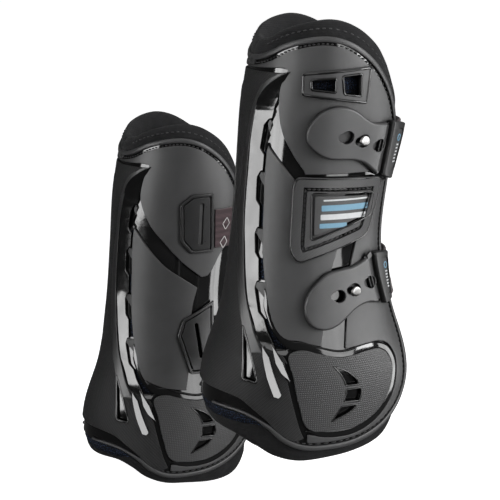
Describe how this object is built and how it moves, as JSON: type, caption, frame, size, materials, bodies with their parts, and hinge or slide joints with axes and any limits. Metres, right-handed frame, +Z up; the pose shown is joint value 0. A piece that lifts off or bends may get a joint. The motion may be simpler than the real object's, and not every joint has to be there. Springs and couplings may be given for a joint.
{
  "type": "pair of horse tendon boots",
  "caption": "Pair of open-front horse tendon boots: glossy wrapped shells with matte raised panels, vents, padded liner and two elastic straps that fold off studs.",
  "frame": {"origin": "on the axis of the leg space in the right boot, at pastern level, 8 mm below the boot's lowest edge", "axes": "+X towards the front of the leg, -Y the outer side of the right boot, +Z up the leg"},
  "size_m": [0.1681, 0.2675, 0.3276],
  "materials": {
    "gloss_tpu": "glossy moulded",
    "matte_tpu": "matte moulded",
    "guard_tpu": "fine twill texture",
    "plate_tpu": "fine ribbed texture",
    "inlay_tpu": "satin with pale printed marks",
    "badge_ink": "printed",
    "air_mesh": "open navy mesh",
    "neoprene": "perforated neoprene",
    "roll_fabric": "soft knit over foam",
    "elastic": "woven elastic with a pale woven motif",
    "stud_metal": "polished"
  },
  "bodies": {
    "right_boot": {"right_outer_shell": "gloss_tpu", "right_air_mesh": "air_mesh", "right_liner": "neoprene", "right_top_roll": "roll_fabric", "right_bottom_roll": "roll_fabric", "right_lateral_binding": "matte_tpu", "right_medial_binding": "matte_tpu", "right_tendon_guard": "guard_tpu", "right_lateral_upper_panel": "matte_tpu", "right_lateral_side_panel": "matte_tpu", "right_lateral_fetlock_panel": "matte_tpu", "right_medial_upper_panel": "matte_tpu", "right_medial_side_panel": "matte_tpu", "right_medial_fetlock_panel": "matte_tpu", "right_vent_frame": "matte_tpu", "right_badge_frame": "matte_tpu", "right_badge_plate": "plate_tpu", "right_stud_washers": "stud_metal", "right_block_inlays": "inlay_tpu", "right_upper_anchor": "matte_tpu", "right_upper_elastic": "elastic", "right_upper_block": "matte_tpu", "right_upper_stud": "stud_metal", "right_lower_anchor": "matte_tpu", "right_lower_elastic": "elastic", "right_lower_block": "matte_tpu", "right_lower_stud": "stud_metal"},
    "left_boot": {"left_outer_shell": "gloss_tpu", "left_air_mesh": "air_mesh", "left_liner": "neoprene", "left_top_roll": "roll_fabric", "left_bottom_roll": "roll_fabric", "left_lateral_binding": "matte_tpu", "left_medial_binding": "matte_tpu", "left_tendon_guard": "guard_tpu", "left_lateral_upper_panel": "matte_tpu", "left_lateral_side_panel": "matte_tpu", "left_lateral_fetlock_panel": "matte_tpu", "left_medial_upper_panel": "matte_tpu", "left_medial_side_panel": "matte_tpu", "left_medial_fetlock_panel": "matte_tpu", "left_vent_frame": "matte_tpu", "left_badge_frame": "matte_tpu", "left_badge_plate": "plate_tpu", "left_stud_washers": "stud_metal", "left_block_inlays": "inlay_tpu", "left_upper_anchor": "matte_tpu", "left_upper_elastic": "elastic", "left_upper_block": "matte_tpu", "left_upper_stud": "stud_metal", "left_lower_anchor": "matte_tpu", "left_lower_elastic": "elastic", "left_lower_block": "matte_tpu", "left_lower_stud": "stud_metal"},
    "right_upper_strap": {"right_upper_tab": "matte_tpu"},
    "right_lower_strap": {"right_lower_tab": "matte_tpu"},
    "left_upper_strap": {"left_upper_tab": "matte_tpu"},
    "left_lower_strap": {"left_lower_tab": "matte_tpu"}
  },
  "joints": [
    {"name": "right_upper_strap_fold", "type": "hinge", "parent": "right_boot", "child": "right_upper_strap", "pos_m": [0.03709, -0.03625, 0.18725], "axis": [0.1816, 0, 0.9834], "range_deg": [0, 90]},
    {"name": "right_lower_strap_fold", "type": "hinge", "parent": "right_boot", "child": "right_lower_strap", "pos_m": [0.03373, -0.03625, 0.111], "axis": [-0.2224, 0, 0.975], "range_deg": [0, 90]},
    {"name": "left_upper_strap_fold", "type": "hinge", "parent": "left_boot", "child": "left_upper_strap", "pos_m": [-0.01386, 0.20814, 0.11025], "axis": [-0.1813, -0.0095, -0.9834], "range_deg": [0, 90]},
    {"name": "left_lower_strap_fold", "type": "hinge", "parent": "left_boot", "child": "left_lower_strap", "pos_m": [-0.01721, 0.20797, 0.034], "axis": [0.2221, 0.0116, -0.975], "range_deg": [0, 90]},
    {"name": "left_boot_lift", "type": "slide", "parent": "right_boot", "child": "left_boot", "axis": [0, 0, 1], "range_m": [0, 0.077]}
  ]
}
